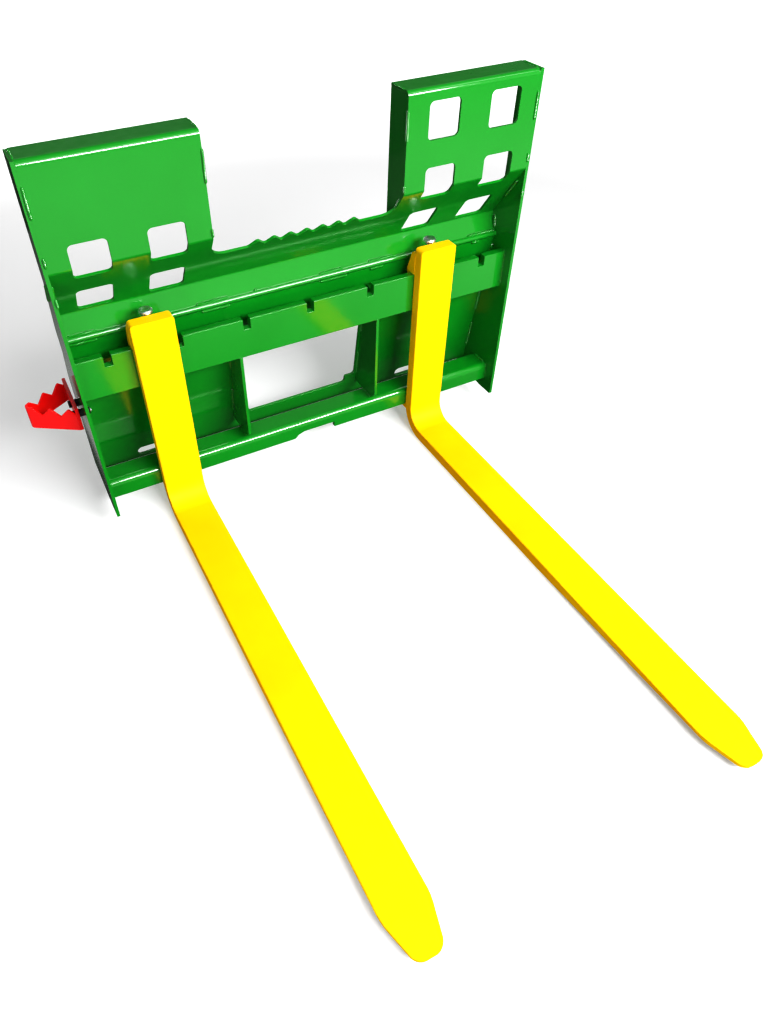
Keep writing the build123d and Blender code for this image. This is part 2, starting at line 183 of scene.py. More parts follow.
# Half the width of the bead in each seam, in millimetres
BEAD = {
    "nose_top": 3.9,
    "nose_foot": 3.6,
    "hook_tail": 3.0,
    "back_plate_front": 3.2,
    "back_plate_rear": 3.0,
    "tail_end": 3.2,
    "strip_end": 3.0,
    "tower_edge": 3.3,
    "inner_plate_edge": 3.0,
    "flange_end": 2.6,
    "flange_corner": 3.4,
    "inner_flange": 2.2,
    "overhang_end": 3.0,
    "tower_inside": 2.6,
    "tab": 2.6,
    "inner_plate_foot": 2.4,
    "bar_end": 1.7,
    "rail_end": 3.2,
    "gusset": 2.6,
    "gusset_under_bar": 2.4,
    "upper_hook_side": 2.6,
    "lower_hook_side": 2.4,
    "upper_hook_top": 3.0,
    "lower_hook_foot": 2.6,
    "step": 2.4,
}
# Where stitches start and end along the part, or up it, as the photograph shows them
NOSE_TOP_STITCHES = ((-569, -500), (-267, -186), (-122, -112), (52, 118), (188, 260), (486, 570))
NOSE_FOOT_STITCHES = ((-570, -502), (-256, -186), (52, 125), (192, 230), (498, 524))
HOOK_TAIL_RUNS = ((-560, -400), (-300, -140), (-80, 80), (140, 300), (400, 560))
BACK_PLATE_STITCHES = ((478, 400), (340, 260), (215, 130))
TOWER_STITCHES = ((876, 814), (741, 718), (654, 632))
INNER_PLATE_STITCHES = ((885, 818), (726, 706))
TOWER_INSIDE_RUNS = ((880, 800), (760, 720))
INNER_PLATE_RUNS = ((880, 760),)
GUSSET_STITCHES = ((150, 230), (300, 380))
# Seams beside the hook bar's nose, as how far behind and how far above its middle they lie
OVER_NOSE = (3.6, NOSE_ROUND + 0.2)
UNDER_NOSE = (0.4, -11.8)
UNDER_TAIL = (14.0, -22.0)
TAIL_END = ((8.0, 3.5), (50.0, -32.5))
STRIP_END = ((8.0, 48.0), (4.5, 13.0))
# Seams on the towers, as places back from the guard's face and up from the floor
FLANGE_END = ((14.0, TOWER_TOP - 0.6), (66.0, TOWER_TOP - 0.6))
FLANGE_CORNER = ((0.8, TOWER_TOP - 7.0), (4.5, TOWER_TOP - 1.0))
INNER_FLANGE = ((20.0, TOWER_TOP - 1.0), (62.0, TOWER_TOP - 1.0))
OVERHANG_END = ((21.0, 669.0), (60.0, 616.0))
INNER_PLATE_FOOT = ((16.0, 689.0), (62.0, 627.0))
# Runs on the carriage, up it or back from the guard's face: on the bar's ends, the rail and each gusset
BAR_FRONT_RUN = (386.0, 474.0)
BAR_TOP_RUN = (33.0, 48.0)
BAR_BACK_RUN = (390.0, 470.0)
RAIL_FRONT_RUN = (78.0, 106.0)
RAIL_TOP_RUN = (50.0, 94.0)
GUSSET_FOOT_RUN = (52.0, 92.0)
GUSSET_BAR_RUN = (392.0, 444.0)
GUSSET_UNDER_BAR_RUN = (31.5, 49.0)
# Runs on the forks: up the sides of the hooks, and half the length of those across them
UPPER_HOOK_RUN = (487.0, 532.0)
LOWER_HOOK_RUN = (66.0, 102.0)
UPPER_HOOK_HALF = 42.0
LOWER_HOOK_HALF = 40.0
# The step's two runs: how far back each stands, and from where to where it goes up
STEP_ENDS = (86.0, 215.6)
STEP_RUN = (275.0, 311.0)
STEP_RIPPLE = 2.6
# How far the middle of a bead lies off the plates that it joins
IN_A_CORNER = 1.5
ON_THE_RAIL = 1.6
OFF_A_SHEET = 0.5
OFF_A_PLATE = 0.8
ON_THE_BAR = 0.7
OVER_AN_EDGE = 0.6
BEHIND_THE_BAR = 0.9
INTO_THE_PLATE = 0.2
TOWER_EDGE = (0.4, -0.2)
INNER_PLATE_EDGE = (0.8, -0.4)
AHEAD_OF_BACK_PLATE = 1.0
BEHIND_BACK_PLATE = (9.4, 1.3)
HOOK_SIDES = (1.5, 0.9)
HOOK_BACK = 0.2
OVER_UPPER_HOOK = (1.0, 0.9)
UNDER_LOWER_HOOK = (-1.5, 0.1)

# Rounds on the cut edges of plates, in millimetres
EASED_NODES = {
    "left_side_plate": 0.9,
    "right_side_plate": 0.9,
    "guard_sheet": 0.7,
    "left_tower_inner_plate": 0.7,
    "right_tower_inner_plate": 0.7,
    "back_plate": 0.8,
    "fork_bar": 0.9,
    "lower_rail": 0.8,
    "left_gusset": 0.7,
    "right_gusset": 0.7,
    "side_step_tread": 0.5,
    "side_step_base": 0.6,
    "left_fork_upper_hook": 0.8,
    "right_fork_upper_hook": 0.8,
    "left_fork_lower_hook": 0.8,
    "right_fork_lower_hook": 0.8,
}
# Loose triangles are joined closer than this, in metres, and faces this near to flat are made one
JOIN_DISTANCE = 1e-6
SAME_PLANE = math.radians(0.6)
CUT_EDGE = math.radians(32)
EDGE_STEPS = 2
FLAT_WEIGHT = 100
# Edges that turn by less than this many degrees are shaded smooth
SMOOTH_WELD = 40.0
SMOOTH_HEXAGON = 30.0
SMOOTH_THREAD = 50.0
SMOOTH_PIN = 60.0

# A lock pin's outline as radius and height: from its lower end, and from the underside of its head
PIN_FOOT = ((5.6, 0.0), (6.0, 0.0), (7.0, 1.0), (7.0, 19.7), (7.0, 59.7), (7.0, 66.1))
PIN_HEAD = (
    (7.4, 0.0),
    (9.0, 0.0),
    (9.4, 0.3),
    (12.4, 3.3),
    (15.4, 5.7),
    (16.0, 6.4),
    (16.0, 8.2),
    (15.8, 8.5),
    (16.0, 8.8),
    (16.0, 10.6),
    (15.6, 11.4),
    (14.6, 12.6),
    (13.9, 13.2),
)
PIN_FACE = 13.5
PIN_FACE_MIDDLE = 0.6
PIN_FACE_RINGS = 26
PIN_DOME = 0.5
TOOL_MARK = 0.10
TOOL_FEED = 1.5
PIN_SIDES = 64
# The step's fasteners, as radius and place along the bolt from the face that each starts at
BOLT_HEAD = ((7.6, -6.4), (8.2, -6.4), (9.0, -5.8), (9.9, -5.0), (9.9, -0.5), (8.2, 0.0))
WASHER_RIM = (
    (5.5, 0.2),
    (5.8, 0.0),
    (9.6, 0.0),
    (10.0, 0.5),
    (10.0, WASHER - 0.5),
    (9.6, WASHER),
    (5.8, WASHER),
    (5.5, WASHER - 0.2),
)
NUT_OUTLINE = (
    (5.05, 0.6),
    (5.6, 0.0),
    (8.3, 0.0),
    (9.9, 1.0),
    (9.9, NUT - 1.0),
    (8.3, NUT),
    (5.6, NUT),
    (5.05, NUT - 0.6),
)
THREAD_DEPTH = 0.9
THREAD_TIP = 0.7
THREAD_RINGS = 6
SHANK_OVERLAP = 1.0
HEX_SIDES = 72
THREAD_SIDES = 36
SHANK_SIDES = 24
WASHER_SIDES = 40

# The floor and the backdrop, in metres, and the floor's painted glow beside the part and far off
FLOOR_HALF = 30.0
BACKDROP_RADIUS = 29.0
BACKDROP_RISE = (-0.04, 0.5 * math.pi - 0.02)
BACKDROP_RINGS = 32
BACKDROP_SIDES = 96
FLOOR_GLOW = (0.24, 0.88)
GLOW_REACH = (2.2, 3.6)
# A glowing sheet beside the left plate, a painted reflection seen only in reflections: its left, right, front
# and back, its height above the floor, its glow at the front and the back, and between which places that
# fades
SHINE_EDGES = (-1.12, -0.60, -0.50, 1.90)
SHINE_HEIGHT = 0.003
SHINE_GLOW = (0.50, 0.08)
SHINE_FADE = (0.2, 1.6)
# The soft boxes: name, place, what each is turned to, width and height in metres, and watts
SOFT_BOXES = (
    ("front_soft_box", (0.9, -2.8, 2.25), (0.0, -0.2, 0.5), (2.5, 0.8), 250),
    ("overhead_tube", (0.7, -1.2, 2.6), (0.2, 0.0, 0.6), (2.8, 0.30), 12),
    ("rear_soft_box", (0.3, 5.6, 0.65), (0.0, 0.1, 0.45), (2.4, 0.9), 175),
    ("low_left_fill", (-1.6, -1.5, 0.35), (0.1, -0.6, 0.02), (0.8, 0.3), 9),
)
# The room's grey levels by direction: where its front turns into its back, and each from floor to ceiling
FRONT_INTO_BACK = ((-1, 0.0), (-0.2, 0.0), (0.3, 1.0), (1, 1.0))
ROOM_AHEAD = (
    (-1, 0.05),
    (-0.60, 0.08),
    (-0.43, 0.85),
    (-0.33, 0.85),
    (-0.20, 0.08),
    (-0.02, 0.70),
    (0.12, 0.70),
    (0.24, 0.28),
    (1, 0.40),
)
ROOM_BEHIND = (
    (-1, 0.02),
    (-0.03, 0.02),
    (0.0, 0.60),
    (0.14, 0.60),
    (0.24, 0.04),
    (0.36, 0.10),
    (0.44, 0.50),
    (0.52, 0.50),
    (0.62, 0.12),
    (1, 0.15),
)
# How the darker shades are deepened, in the curve that acts on all the colours at once
DEEPENED_SHADES = ((0.07, 0.04), (0.16, 0.105), (0.30, 0.25), (0.50, 0.50))
ALL_CHANNELS = 3

# Sockets of a colour mix: its two colours, and what comes out
FIRST_COLOUR = 6
SECOND_COLOUR = 7
MIXED_COLOUR = 2


def node_box(node):
    """A CAD node's lowest and highest corner, in millimetres to the nearest thousandth."""
    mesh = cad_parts[node].data
    places = np.empty(3 * len(mesh.vertices), np.float32)
    mesh.vertices.foreach_get("co", places)
    places = places.astype(float).reshape(-1, 3) / MM
    return places.min(0).round(3), places.max(0).round(3)


def middle_x(node):
    """Halfway between a CAD node's left and right."""
    low, high = node_box(node)
    return (low[0] + high[0]) / 2


# Places read from the CAD nodes
INNER_HALF = node_box("right_side_plate")[0][0]
OUTER_HALF = node_box("right_side_plate")[1][0]
TOWER_INNER = node_box("right_tower_inner_plate")[0][0]
INNER_PLATE_FAR = node_box("right_tower_inner_plate")[1][0]
BAR_FRONT, BAR_FOOT = node_box("fork_bar")[0][1:]
BAR_BACK, BAR_TOP = node_box("fork_bar")[1][1:]
RAIL_FRONT = node_box("lower_rail")[0][1]
RAIL_TOP = node_box("lower_rail")[1][2]
GUSSET_FACES = (node_box("right_gusset")[0][0], node_box("right_gusset")[1][0])
FORK_BACK = node_box("left_fork")[1][1]
UPPER_HOOK_LOW, UPPER_HOOK_HIGH = node_box("left_fork_upper_hook")
LOWER_HOOK_LOW, LOWER_HOOK_HIGH = node_box("left_fork_lower_hook")
BASE_OUTER = node_box("side_step_base")[0][0]
PIN_LOW, PIN_HIGH = node_box("left_lock_pin")
PIN_Y = (PIN_LOW[1] + PIN_HIGH[1]) / 2
HEAD_FOOT = PIN_HIGH[2] - PIN_FACE
FORK_PLACES = {side: middle_x(side + "_fork") for side in ("left", "right")}


def put_in_scene(name, data):
    """A new object at the origin."""
    thing = bpy.data.objects.new(name, data)
    bpy.context.collection.objects.link(thing)
    return thing


def aim_camera():
    """The camera's axes: it looks ahead and down by two angles, then rolls about its line of sight."""
    ahead = Vector(
        (
            math.sin(CAMERA_TURN) * math.cos(CAMERA_DOWN),
            math.cos(CAMERA_TURN) * math.cos(CAMERA_DOWN),
            -math.sin(CAMERA_DOWN),
        )
    )
    level = ahead.cross(Vector((0, 0, 1))).normalized()
    drop = ahead.cross(level)
    right = math.cos(CAMERA_ROLL) * level + math.sin(CAMERA_ROLL) * drop
    down = -math.sin(CAMERA_ROLL) * level + math.cos(CAMERA_ROLL) * drop
    turn = Matrix((right, -down, -ahead)).transposed().to_4x4()
    lens = bpy.data.cameras.new("photo_camera")
    lens.sensor_width = SENSOR
    lens.lens = FOCAL_PIXELS * SENSOR / PHOTO_HEIGHT
    lens.shift_x = (PHOTO_WIDTH / 2 - VIEW_CENTRE[0]) / PHOTO_HEIGHT
    lens.shift_y = (VIEW_CENTRE[1] - PHOTO_HEIGHT / 2) / PHOTO_HEIGHT
    lens.clip_end = FAR_SIGHT
    camera = put_in_scene("photo_camera", lens)
    camera.matrix_world = Matrix.Translation(CAMERA_PLACE) @ turn
    bpy.context.scene.camera = camera


class Finish:
    """A material's node tree with short words for the nodes that the finishes share."""

    def __init__(self, name):
        self.material = bpy.data.materials.new(name)
        self.material.use_nodes = True
        self.tree = self.material.node_tree
        self.shader = self.tree.nodes["Principled BSDF"]
        self.place = self.tree.nodes.new("ShaderNodeTexCoord").outputs["Object"]

    def link(self, start, end):
        self.tree.links.new(start, end)

    def set(self, **values):
        for name, value in values.items():
            self.shader.inputs[name.replace("_", " ")].default_value = value

    def noise(self, scale, detail=2.0, roughness=0.5, stretch=None):
        """A cloudy pattern with its size as repeats per metre, which may be drawn out along an axis."""
        node = self.tree.nodes.new("ShaderNodeTexNoise")
        node.inputs["Scale"].default_value = scale
        node.inputs["Detail"].default_value = detail
        node.inputs["Roughness"].default_value = roughness
        start = self.place
        if stretch:
            drawn = self.tree.nodes.new("ShaderNodeMapping")
            drawn.inputs["Scale"].default_value = stretch
            self.link(start, drawn.inputs["Vector"])
            start = drawn.outputs["Vector"]
        self.link(start, node.inputs["Vector"])
        return node.outputs["Fac"]

    def ranged(self, value, low, high, start=0.3, end=0.7):
        """A pattern's values moved from one range to another."""
        node = self.tree.nodes.new("ShaderNodeMapRange")
        node.inputs["From Min"].default_value = start
        node.inputs["From Max"].default_value = end
        node.inputs["To Min"].default_value = low
        node.inputs["To Max"].default_value = high
        self.link(value, node.inputs["Value"])
        return node.outputs["Result"]

    def blended(self, factor, first, second):
        """Two colours mixed by a pattern."""
        node = self.tree.nodes.new("ShaderNodeMix")
        node.data_type = "RGBA"
        self.link(factor, node.inputs["Factor"])
        node.inputs[FIRST_COLOUR].default_value = (*first, 1)
        node.inputs[SECOND_COLOUR].default_value = (*second, 1)
        return node.outputs[MIXED_COLOUR]

    def bump(self, height, depth):
        """Small relief, with its depth in metres."""
        node = self.tree.nodes.new("ShaderNodeBump")
        node.inputs["Distance"].default_value = depth
        self.link(height, node.inputs["Height"])
        return node.outputs["Normal"]


def sprayed_paint(name, colour, shade, roughness, gloss, gloss_index, ripple, mirrored):
    """Sprayed enamel: a film of uneven thickness, the spray's ripple, a dusty bloom and a clear gloss."""
    paint = Finish(name)
    film = paint.ranged(paint.noise(FILM_CLOUDS, detail=3), 0, 1)
    paint.link(paint.blended(film, colour, shade), paint.shader.inputs["Base Color"])
    bloom = paint.noise(BLOOM_CLOUDS, detail=4, roughness=0.6)
    bloom = paint.ranged(bloom, roughness, roughness + BLOOM)
    paint.link(bloom, paint.shader.inputs["Roughness"])
    relief = paint.bump(paint.noise(SPRAY_RIPPLE, detail=1), ripple)
    paint.link(relief, paint.shader.inputs["Normal"])
    paint.set(Coat_Weight=gloss, Coat_Roughness=GLOSS_ROUGHNESS, Coat_IOR=gloss_index)
    paint.set(Specular_IOR_Level=mirrored)
    return paint.material


def black_oxide():
    """Blackened steel: nearly black, with a faint oily mottling."""
    steel = Finish("black_oxide_steel")
    mottle = steel.ranged(steel.noise(OXIDE_MOTTLE, detail=3), 0, 1)
    steel.link(steel.blended(mottle, *OXIDE_TONES), steel.shader.inputs["Base Color"])
    sheen = steel.ranged(steel.noise(OXIDE_SHEEN), *OXIDE_ROUGHNESS)
    steel.link(sheen, steel.shader.inputs["Roughness"])
    steel.link(steel.bump(steel.noise(OXIDE_GRAIN), OXIDE_RELIEF), steel.shader.inputs["Normal"])
    steel.set(Metallic=OXIDE_METAL)
    return steel.material


def bright_zinc():
    """Zinc plate: a pale grey metal with fine turning lines and small cloudy crystals."""
    zinc = Finish("bright_zinc_plate")
    cloud = zinc.ranged(zinc.noise(ZINC_CLOUDS, detail=4, roughness=0.6), 0, 1)
    zinc.link(zinc.blended(cloud, *ZINC_TONES), zinc.shader.inputs["Base Color"])
    lines = zinc.noise(TURNING_LINES, stretch=TURNING_STRETCH)
    zinc.link(zinc.ranged(lines, *ZINC_ROUGHNESS), zinc.shader.inputs["Roughness"])
    zinc.link(zinc.bump(lines, ZINC_RELIEF), zinc.shader.inputs["Normal"])
    zinc.set(Metallic=1.0)
    return zinc.material


finishes = {slot: sprayed_paint(**paint) for slot, paint in PAINTS.items()}
finishes["black_steel"] = black_oxide()
finishes["zinc"] = bright_zinc()
slot_of = {node: slot for slot, nodes in FINISH_OF.items() for node in nodes}


def dress_cad_nodes():
    """Gives each CAD node the finish of its slot."""
    for node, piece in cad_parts.items():
        for place in piece.material_slots:
            place.material = finishes[slot_of[node]]


def closed_surface(points, along_closed=False, capped=True):
    """Corners and faces of a grid of points, a ring to each row, with a point to close each capped end."""
    rings, steps = points.shape[:2]
    corners = points.reshape(-1, 3)
    ring, step = np.meshgrid(np.arange(rings if along_closed else rings - 1), np.arange(steps), indexing="ij")
    ahead, beside = (ring + 1) % rings, (step + 1) % steps
    quads = np.stack(
        [ring * steps + step, ring * steps + beside, ahead * steps + beside, ahead * steps + step], -1
    ).reshape(-1, 4)
    groups = [quads]
    if capped:
        first, last = len(corners), len(corners) + 1
        corners = np.vstack([corners, points[0].mean(0), points[-1].mean(0)])
        here = np.arange(steps)
        after = (here + 1) % steps
        end = (rings - 1) * steps
        groups.append(np.stack([np.full(steps, first), after, here], -1))
        groups.append(np.stack([np.full(steps, last), end + here, end + after], -1))
    return corners, groups


def make_piece(name, parts, finish, body="frame", smooth_below=SMOOTH_WELD):
    """One object from several closed surfaces in millimetres, facing outwards, with a finish and a body."""
    faces, held = [], 0
    for corners, groups in parts:
        for group in groups:
            faces += (group + held).tolist()
        held += len(corners)
    mesh = bpy.data.meshes.new(name)
    mesh.from_pydata((np.vstack([corners for corners, groups in parts]) * MM).tolist(), [], faces)
    form = bmesh.new()
    form.from_mesh(mesh)
    bmesh.ops.recalc_face_normals(form, faces=form.faces)
    form.to_mesh(mesh)
    form.free()
    mesh.shade_smooth()
    mesh.set_sharp_from_angle(angle=math.radians(smooth_below))
    mesh.materials.append(finishes[finish])
    piece = put_in_scene(name, mesh)
    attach(piece, body)
    return piece


def frame_along(path):
    """Two directions square to a path and to each other, the first level unless the path runs upright."""
    way = np.gradient(path, axis=0)
    way /= np.linalg.norm(way, axis=1)[:, None]
    over = np.where(np.abs(way[:, 2:3]) > NEARLY_UPRIGHT, [[0.0, 1.0, 0.0]], [[0.0, 0.0, 1.0]])
    side = np.cross(way, over)
    side /= np.linalg.norm(side, axis=1)[:, None]
    return side, np.cross(side, way)


def weld_bead(start, end, size, ripple=RIPPLE):
    """A weld laid between two points, in millimetres.

    It is a tube about the seam. At a distance s along it and an angle a round it, the radius is
    the size, times the root of 1 - (1 - e)^2, where e rises from 0 at each end to 1 at a distance
    of 1.6 sizes from it, times 1 + 0.13 cos(2 pi s / ripple + 1.6 cos a). The second term in that
    cosine bends the ripples into the crescents that a moving weld pool leaves. The tube's middle
    strays to the side by 0.06 of the size times sin(s / 11 + a start of its own).
    """
    start, end = np.array(start, float), np.array(end, float)
    length = np.linalg.norm(end - start)
    count = max(int(length / (ripple / RIPPLE_RINGS)), LEAST_RINGS)
    share = np.linspace(0, 1, count)
    path = start + share[:, None] * (end - start)
    side, up = frame_along(path)
    angle = np.linspace(0, 2 * np.pi, BEAD_SIDES, endpoint=False)
    run = share * length
    ends = np.clip(np.minimum(run, length - run) / (END_RUN * size), 0, 1)
    taper = np.sqrt(np.clip(1 - (1 - ends) ** 2, END_LEAST, 1))
    crescents = np.cos(2 * np.pi * run[:, None] / ripple + RIPPLE_BEND * np.cos(angle))
    radius = size * taper[:, None] * (1 + RIPPLE_HEIGHT * crescents)
    stray = STRAY * size * np.sin(run / STRAY_RUN + start.sum())
    centre = path + stray[:, None] * side
    points = (
        centre[:, None]
        + (radius * np.cos(angle))[..., None] * side[:, None]
        + (radius * np.sin(angle))[..., None] * up[:, None]
    )
    return closed_surface(points)


def across(runs, back_and_up, size):
    """Beads that run left to right, one for each start and end."""
    return [weld_bead((start, *back_and_up), (end, *back_and_up), size) for start, end in runs]


def upright(x, y, runs, size):
    """Beads that run up or down at one place, one for each start and end."""
    return [weld_bead((x, y, start), (x, y, end), size) for start, end in runs]


def back_along(x, z, runs, size):
    """Beads that run straight back at one height, one for each start and end."""
    return [weld_bead((x, start, z), (x, end, z), size) for start, end in runs]


def in_profile(x, seam, size):
    """A bead between two places given as how far back and how far up."""
    return weld_bead((x, *seam[0]), (x, *seam[1]), size)


def from_nose(place):
    """A place given from the middle of the hook bar's nose, as how far back and how far up it is."""
    return NOSE[0] + place[0], NOSE[1] + place[1]


def lean(z):
    """How far back the back plate's front is at a height: it leans away from the nose by an angle."""
    return NOSE[0] + (NOSE[1] - z) * math.tan(math.radians(BACK_LEAN))


def up_the_back_plate(x, runs, shift, size):
    """Beads that run up the leaning back plate, shifted back and up from its front."""
    behind, above = shift
    return [
        weld_bead((x, lean(low) + behind, low + above), (x, lean(high) + behind, high + above), size)
        for low, high in runs
    ]


def slope_point(x, down, square):
    """A point by how far it lies down the overhang and how far behind its seen face."""
    length = math.hypot(OVERHANG_DEPTH, OVERHANG_DROP)
    back, drop = OVERHANG_DEPTH / length, OVERHANG_DROP / length
    return (x, back * down + drop * square, OVERHANG_TOP - drop * down + back * square)


def turned(profile, centre, axis="z", sides=48):
    """A turned piece: each (radius, height) of the profile swept round an axis by r cos a and r sin a."""
    profile = np.array(profile, float)
    angle = np.linspace(0, 2 * np.pi, sides, endpoint=False)
    radius, height = profile[:, :1], np.repeat(profile[:, 1:], sides, 1)
    first, second = radius * np.cos(angle), radius * np.sin(angle)
    order = {"z": (first, second, height), "x": (height, first, second)}[axis]
    return np.stack(order, -1) + np.array(centre, float)


def hexagon_radius(angle, flats):
    """How far out a hexagon's edge is: half its flats over cos of the angle from the nearest flat."""
    sector = np.pi / 3
    return flats / 2 / np.cos((angle + sector / 2) % sector - sector / 2)


def hexagon_body(profile, flats, centre, along_closed=False, capped=True):
    """A hexagon along x with its corners turned off: the smaller of the hexagon and the profile's circle."""
    angle = np.linspace(0, 2 * np.pi, HEX_SIDES, endpoint=False)
    limit, place = np.array(profile, float).T
    radius = np.minimum(hexagon_radius(angle, flats)[None], limit[:, None])
    points = np.stack(
        [np.repeat(place[:, None], HEX_SIDES, 1), radius * np.cos(angle), radius * np.sin(angle)], -1
    )
    return closed_surface(points + np.array(centre, float), along_closed=along_closed, capped=capped)


def threaded_end(radius, pitch, start, end, centre):
    """A bolt's thread along x.

    The radius is that of the bolt less 0.9 of the pitch times the distance of
    x / pitch - a / (2 pi) from the nearest whole number, which runs a single groove round and
    along it. Over the last pitch it narrows by 0.7 mm to the tip.
    """
    place = np.arange(start, end + pitch / THREAD_RINGS / 2, pitch / THREAD_RINGS)
    angle = np.linspace(0, 2 * np.pi, THREAD_SIDES, endpoint=False)
    phase = place[:, None] / pitch - angle[None] / (2 * np.pi)
    groove = np.abs(phase - np.round(phase))
    tip = np.clip((end - place) / pitch, 0, 1)[:, None]
    depth = radius - THREAD_DEPTH * pitch * groove - (1 - tip) * THREAD_TIP
    points = np.stack(
        [np.repeat(place[:, None], THREAD_SIDES, 1), depth * np.cos(angle), depth * np.sin(angle)], -1
    )
    return closed_surface(points + np.array(centre, float))


def lay_coupler_welds():
    """The stitches that hold the hook bar and the back plate, and the runs at their ends."""
    beads = across(NOSE_TOP_STITCHES, from_nose(OVER_NOSE), BEAD["nose_top"])
    beads += across(NOSE_FOOT_STITCHES, from_nose(UNDER_NOSE), BEAD["nose_foot"])
    beads += across(HOOK_TAIL_RUNS, from_nose(UNDER_TAIL), BEAD["hook_tail"])
    for side in (-1, 1):
        x = side * (INNER_HALF - IN_A_CORNER)
        for run in BACK_PLATE_STITCHES:
            beads += up_the_back_plate(x, [run], (-AHEAD_OF_BACK_PLATE, 0.0), BEAD["back_plate_front"])
            beads += up_the_back_plate(x, [run], BEHIND_BACK_PLATE, BEAD["back_plate_rear"])
        for seam, bead in ((TAIL_END, "tail_end"), (STRIP_END, "strip_end")):
            beads.append(in_profile(x, [from_nose(place) for place in seam], BEAD[bead]))
    make_piece("coupler_welds", beads, "green_paint")


def lay_guard_welds():
    """The stitches down the towers' edges, the runs on their flanges and the loop round each tab."""
    start, end = TAB_START - OFF_A_SHEET, TAB_START + TAB_LENGTH + OFF_A_SHEET
    seen, hidden = -OFF_A_SHEET, SHEET + OFF_A_SHEET
    loop = ((start, seen), (end, seen), (end, hidden), (start, hidden))
    beads = []
    for side in (-1, 1):
        outer = side * (INNER_HALF + TOWER_EDGE[0])
        inner = side * (TOWER_INNER + INNER_PLATE_EDGE[0])
        beads += upright(outer, TOWER_EDGE[1], TOWER_STITCHES, BEAD["tower_edge"])
        beads += upright(inner, INNER_PLATE_EDGE[1], INNER_PLATE_STITCHES, BEAD["inner_plate_edge"])
        beads.append(in_profile(outer, FLANGE_END, BEAD["flange_end"]))
        beads.append(in_profile(outer, FLANGE_CORNER, BEAD["flange_corner"]))
        beads.append(in_profile(inner, INNER_FLANGE, BEAD["inner_flange"]))
        inside = side * (INNER_HALF - IN_A_CORNER)
        beads.append(in_profile(inside, OVERHANG_END, BEAD["overhang_end"]))
        beads += upright(inside, SHEET + OFF_A_SHEET, TOWER_INSIDE_RUNS, BEAD["tower_inside"])
        inside = side * (INNER_PLATE_FAR + OFF_A_SHEET)
        beads += upright(inside, SHEET + 2 * OFF_A_SHEET, INNER_PLATE_RUNS, BEAD["tower_inside"])
        outside = side * (OUTER_HALF + OFF_A_SHEET)
        corners = [slope_point(outside, *place) for place in loop]
        for first, second in zip(corners, corners[1:] + corners[:1]):
            beads.append(weld_bead(first, second, BEAD["tab"]))
        left_face = min(side * TOWER_INNER, side * INNER_PLATE_FAR)
        beads.append(in_profile(left_face, INNER_PLATE_FOOT, BEAD["inner_plate_foot"]))
    make_piece("guard_welds", beads, "green_paint")


def lay_carriage_welds():
    """The runs at the ends of the fork bar and the lower rail, and those down both faces of each gusset."""
    over_bar, under_bar = BAR_TOP + OVER_AN_EDGE, BAR_FOOT - OVER_AN_EDGE
    over_rail = RAIL_TOP + OVER_AN_EDGE
    near, far = GUSSET_FACES
    end, gusset = BEAD["bar_end"], BEAD["gusset"]
    beads = []
    for side in (-1, 1):
        x = side * (INNER_HALF + INTO_THE_PLATE)
        beads += upright(x, BAR_FRONT - ON_THE_BAR, [BAR_FRONT_RUN], end)
        beads += back_along(x, over_bar, [BAR_TOP_RUN], end)
        beads += upright(x, BAR_BACK + BEHIND_THE_BAR, [BAR_BACK_RUN], end)
        beads += upright(x, RAIL_FRONT - ON_THE_BAR, [RAIL_FRONT_RUN], end)
        x = side * (INNER_HALF - ON_THE_RAIL)
        beads += back_along(x, over_rail, [RAIL_TOP_RUN], BEAD["rail_end"])
        for web in sorted((side * (near - OFF_A_PLATE), side * (far + OFF_A_PLATE))):
            beads += back_along(web, over_rail, [GUSSET_FOOT_RUN], gusset)
            beads += up_the_back_plate(web, GUSSET_STITCHES, (-OFF_A_PLATE, 0.0), gusset)
            beads += upright(web, BAR_BACK + ON_THE_BAR, [GUSSET_BAR_RUN], gusset)
            beads += back_along(web, under_bar, [GUSSET_UNDER_BAR_RUN], BEAD["gusset_under_bar"])
    make_piece("carriage_welds", beads, "green_paint")


def lay_fork_welds():
    """Yellow fillets where the hooks meet each shank, one piece for each fork."""
    upper_half = (UPPER_HOOK_HIGH[0] - UPPER_HOOK_LOW[0]) / 2 - HOOK_SIDES[0]
    lower_half = (LOWER_HOOK_HIGH[0] - LOWER_HOOK_LOW[0]) / 2 - HOOK_SIDES[1]
    behind = FORK_BACK + HOOK_BACK
    over = (FORK_BACK + OVER_UPPER_HOOK[0], UPPER_HOOK_HIGH[2] + OVER_UPPER_HOOK[1])
    under = (FORK_BACK + UNDER_LOWER_HOOK[0], LOWER_HOOK_LOW[2] + UNDER_LOWER_HOOK[1])
    for side, x in FORK_PLACES.items():
        beads = []
        for edge in (-1, 1):
            beads += upright(x + edge * upper_half, behind, [UPPER_HOOK_RUN], BEAD["upper_hook_side"])
            beads += upright(x + edge * lower_half, behind, [LOWER_HOOK_RUN], BEAD["lower_hook_side"])
        beads += across([(x - UPPER_HOOK_HALF, x + UPPER_HOOK_HALF)], over, BEAD["upper_hook_top"])
        beads += across([(x - LOWER_HOOK_HALF, x + LOWER_HOOK_HALF)], under, BEAD["lower_hook_foot"])
        make_piece(side + "_fork_welds", beads, "yellow_paint", side + "_fork_body")


def lay_step_welds():
    """Red fillets up the two ends of the step's strip where it stands on its base."""
    x = BASE_OUTER - OFF_A_PLATE
    low, high = STEP_RUN
    beads = [weld_bead((x, y, low), (x, y, high), BEAD["step"], STEP_RIPPLE) for y in STEP_ENDS]
    make_piece("step_welds", beads, "red_paint")


